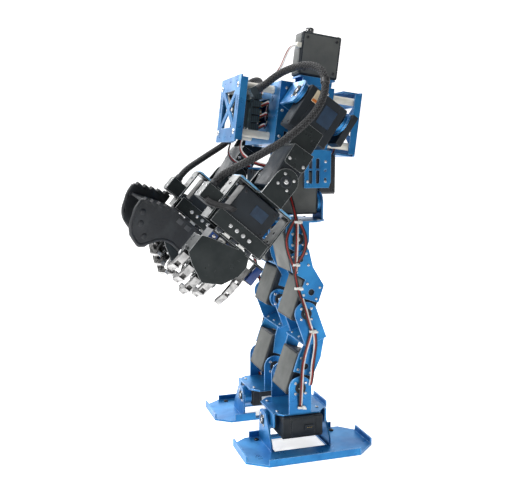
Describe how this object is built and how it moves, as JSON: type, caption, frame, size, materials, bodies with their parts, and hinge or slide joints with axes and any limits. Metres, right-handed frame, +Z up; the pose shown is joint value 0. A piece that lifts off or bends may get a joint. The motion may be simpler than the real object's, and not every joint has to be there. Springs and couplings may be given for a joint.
{
  "type": "humanoid robot kit",
  "caption": "Walking humanoid robot of blue sheet-metal brackets and black servos, with jointed arms and hands, flat feet and an open chest frame.",
  "frame": {"origin": "on the floor under the middle of the whole robot's box, at rest", "axes": "+Z up, -Y is the robot's front, +X is the robot's left side"},
  "size_m": [0.199, 0.2148, 0.3946],
  "materials": {
    "blue_anodised": "satin blue anodised aluminium sheet",
    "dark_sheet": "dark grey anodised aluminium sheet with bright cut edges",
    "servo_black": "black glass-filled plastic servo case",
    "micro_servo_blue": "small servo cases",
    "bright_metal": "bright stamped finger links and pins",
    "nylon_ivory": "ivory nylon",
    "circuit_board": "dark circuit board with black headers",
    "battery_wrap": "black heat-shrink wrap",
    "braided_sleeve": "black braided cable sleeve",
    "guard_rubber": "moulded black rubber"
  },
  "bodies": {
    "torso": {"torso_frame": "blue_anodised", "pelvis_frame": "blue_anodised", "chest_front_plate": "blue_anodised", "chest_back_plate": "blue_anodised", "nylon_standoffs": "nylon_ivory", "control_board": "circuit_board", "battery_pack": "battery_wrap", "shoulder_pitch_servos": "servo_black", "hip_roll_servos": "servo_black", "head_servo": "servo_black", "cable_sleeve_left": "braided_sleeve", "cable_sleeve_right": "braided_sleeve"},
    "head": {"head_spline": "servo_black"},
    "hip_left": {"hip_bracket_left": "blue_anodised"},
    "thigh_left": {"hip_pitch_servo_left": "servo_black", "thigh_bracket_left": "blue_anodised", "knee_servo_left": "servo_black"},
    "shin_left": {"shin_bracket_left": "blue_anodised", "ankle_pitch_servo_left": "servo_black"},
    "ankle_left": {"ankle_bracket_left": "blue_anodised", "ankle_roll_servo_left": "servo_black"},
    "foot_left": {"foot_plate_left": "blue_anodised"},
    "shoulder_left": {"shoulder_bracket_left": "blue_anodised"},
    "upper_arm_left": {"shoulder_roll_servo_left": "servo_black", "elbow_bracket_left": "dark_sheet", "elbow_servo_left": "servo_black"},
    "forearm_left": {"forearm_bracket_left": "dark_sheet", "wrist_servo_left": "servo_black", "wrist_bracket_left": "dark_sheet"},
    "hand_left": {"palm_plates_left": "dark_sheet", "finger_servos_left": "micro_servo_blue"},
    "thumb_left": {"thumb_left": "bright_metal"},
    "finger_1_left": {"finger_1_left": "bright_metal"},
    "finger_2_left": {"finger_2_left": "bright_metal"},
    "finger_3_left": {"finger_3_left": "bright_metal"},
    "finger_4_left": {"finger_4_left": "bright_metal"},
    "hip_right": {"hip_bracket_right": "blue_anodised"},
    "thigh_right": {"hip_pitch_servo_right": "servo_black", "thigh_bracket_right": "blue_anodised", "knee_servo_right": "servo_black"},
    "shin_right": {"shin_bracket_right": "blue_anodised", "ankle_pitch_servo_right": "servo_black"},
    "ankle_right": {"ankle_bracket_right": "blue_anodised", "ankle_roll_servo_right": "servo_black"},
    "foot_right": {"foot_plate_right": "blue_anodised"},
    "shoulder_right": {"shoulder_bracket_right": "blue_anodised"},
    "upper_arm_right": {"shoulder_roll_servo_right": "servo_black", "elbow_bracket_right": "dark_sheet", "elbow_servo_right": "servo_black"},
    "forearm_right": {"forearm_bracket_right": "dark_sheet", "wrist_servo_right": "servo_black", "wrist_bracket_right": "dark_sheet"},
    "hand_right": {"palm_plates_right": "dark_sheet", "finger_servos_right": "micro_servo_blue", "hand_guard_right": "guard_rubber"},
    "thumb_right": {"thumb_right": "bright_metal"},
    "finger_1_right": {"finger_1_right": "bright_metal"},
    "finger_2_right": {"finger_2_right": "bright_metal"},
    "finger_3_right": {"finger_3_right": "bright_metal"},
    "finger_4_right": {"finger_4_right": "bright_metal"}
  },
  "joints": [
    {"name": "head_pan", "type": "hinge", "parent": "torso", "child": "head", "pos_m": [0, 0.05636, 0.30758], "axis": [0, 0.1184, 0.993], "range_deg": [-90, 90]},
    {"name": "hip_roll_left", "type": "hinge", "parent": "torso", "child": "hip_left", "pos_m": [0.036, 0.03744, 0.23], "axis": [0, 1, 0], "range_deg": [-30, 6]},
    {"name": "hip_pitch_left", "type": "hinge", "parent": "hip_left", "child": "thigh_left", "pos_m": [0.036, 0.03244, 0.199], "axis": [1, 0, 0], "range_deg": [-45, 30]},
    {"name": "knee_left", "type": "hinge", "parent": "thigh_left", "child": "shin_left", "pos_m": [0.036, 0.04144, 0.13], "axis": [1, 0, 0], "range_deg": [-25, 80]},
    {"name": "ankle_pitch_left", "type": "hinge", "parent": "shin_left", "child": "ankle_left", "pos_m": [0.036, 0.03644, 0.06], "axis": [1, 0, 0], "range_deg": [-40, 40]},
    {"name": "ankle_roll_left", "type": "hinge", "parent": "ankle_left", "child": "foot_left", "pos_m": [0.036, 0.03744, 0.024], "axis": [0, 1, 0], "range_deg": [-20, 20]},
    {"name": "shoulder_pitch_left", "type": "hinge", "parent": "torso", "child": "shoulder_left", "pos_m": [0.074, 0.04704, 0.314], "axis": [1, 0, 0], "range_deg": [-100, 2], "deforming": ["cable_sleeve_left"]},
    {"name": "shoulder_roll_left", "type": "hinge", "parent": "shoulder_left", "child": "upper_arm_left", "pos_m": [0.074, 0.04704, 0.314], "axis": [0, 0.829, -0.5592], "range_deg": [-80, 0]},
    {"name": "elbow_left", "type": "hinge", "parent": "upper_arm_left", "child": "forearm_left", "pos_m": [0.074, 0.0069, 0.25181], "axis": [1, 0, 0], "range_deg": [-75, 5]},
    {"name": "wrist_left", "type": "hinge", "parent": "forearm_left", "child": "hand_left", "pos_m": [0.074, -0.03423, 0.20279], "axis": [0, 0.6428, 0.766], "range_deg": [-90, 90]},
    {"name": "thumb_left", "type": "hinge", "parent": "hand_left", "child": "thumb_left", "pos_m": [0.074, -0.02152, 0.17515], "axis": [0, 0.766, -0.6428], "range_deg": [-15, 45]},
    {"name": "finger_1_left", "type": "hinge", "parent": "hand_left", "child": "finger_1_left", "pos_m": [0.074, -0.07365, 0.19082], "axis": [0, 0.766, -0.6428], "range_deg": [-20, 25]},
    {"name": "finger_2_left", "type": "hinge", "parent": "hand_left", "child": "finger_2_left", "pos_m": [0.074, -0.06914, 0.17986], "axis": [0, 0.766, -0.6428], "range_deg": [-20, 25]},
    {"name": "finger_3_left", "type": "hinge", "parent": "hand_left", "child": "finger_3_left", "pos_m": [0.074, -0.06399, 0.16966], "axis": [0, 0.766, -0.6428], "range_deg": [-20, 25]},
    {"name": "finger_4_left", "type": "hinge", "parent": "hand_left", "child": "finger_4_left", "pos_m": [0.074, -0.05235, 0.16642], "axis": [0, 0.766, -0.6428], "range_deg": [-20, 25]},
    {"name": "hip_roll_right", "type": "hinge", "parent": "torso", "child": "hip_right", "pos_m": [-0.036, 0.03744, 0.23], "axis": [0, 1, 0], "range_deg": [-6, 30]},
    {"name": "hip_pitch_right", "type": "hinge", "parent": "hip_right", "child": "thigh_right", "pos_m": [-0.036, 0.03244, 0.199], "axis": [1, 0, 0], "range_deg": [-45, 30]},
    {"name": "knee_right", "type": "hinge", "parent": "thigh_right", "child": "shin_right", "pos_m": [-0.036, 0.04144, 0.13], "axis": [1, 0, 0], "range_deg": [-25, 80]},
    {"name": "ankle_pitch_right", "type": "hinge", "parent": "shin_right", "child": "ankle_right", "pos_m": [-0.036, 0.03644, 0.06], "axis": [1, 0, 0], "range_deg": [-40, 40]},
    {"name": "ankle_roll_right", "type": "hinge", "parent": "ankle_right", "child": "foot_right", "pos_m": [-0.036, 0.03744, 0.024], "axis": [0, 1, 0], "range_deg": [-20, 20]},
    {"name": "shoulder_pitch_right", "type": "hinge", "parent": "torso", "child": "shoulder_right", "pos_m": [-0.074, 0.04704, 0.314], "axis": [1, 0, 0], "range_deg": [-100, 2], "deforming": ["cable_sleeve_right"]},
    {"name": "shoulder_roll_right", "type": "hinge", "parent": "shoulder_right", "child": "upper_arm_right", "pos_m": [-0.074, 0.04704, 0.314], "axis": [0, 0.829, -0.5592], "range_deg": [0, 80]},
    {"name": "elbow_right", "type": "hinge", "parent": "upper_arm_right", "child": "forearm_right", "pos_m": [-0.074, 0.0069, 0.25181], "axis": [1, 0, 0], "range_deg": [-75, 5]},
    {"name": "wrist_right", "type": "hinge", "parent": "forearm_right", "child": "hand_right", "pos_m": [-0.074, -0.03423, 0.20279], "axis": [0, 0.6428, 0.766], "range_deg": [-90, 90]},
    {"name": "thumb_right", "type": "hinge", "parent": "hand_right", "child": "thumb_right", "pos_m": [-0.08341, -0.02279, 0.17622], "axis": [-0.342, 0.7198, -0.604], "range_deg": [-45, 15]},
    {"name": "finger_1_right", "type": "hinge", "parent": "hand_right", "child": "finger_1_right", "pos_m": [-0.0663, -0.07261, 0.18995], "axis": [-0.342, 0.7198, -0.604], "range_deg": [-25, 20]},
    {"name": "finger_2_right", "type": "hinge", "parent": "hand_right", "child": "finger_2_right", "pos_m": [-0.0699, -0.06858, 0.17939], "axis": [-0.342, 0.7198, -0.604], "range_deg": [-25, 20]},
    {"name": "finger_3_right", "type": "hinge", "parent": "hand_right", "child": "finger_3_right", "pos_m": [-0.07349, -0.06392, 0.1696], "axis": [-0.342, 0.7198, -0.604], "range_deg": [-25, 20]},
    {"name": "finger_4_right", "type": "hinge", "parent": "hand_right", "child": "finger_4_right", "pos_m": [-0.07725, -0.05279, 0.16679], "axis": [-0.342, 0.7198, -0.604], "range_deg": [-25, 20]}
  ]
}
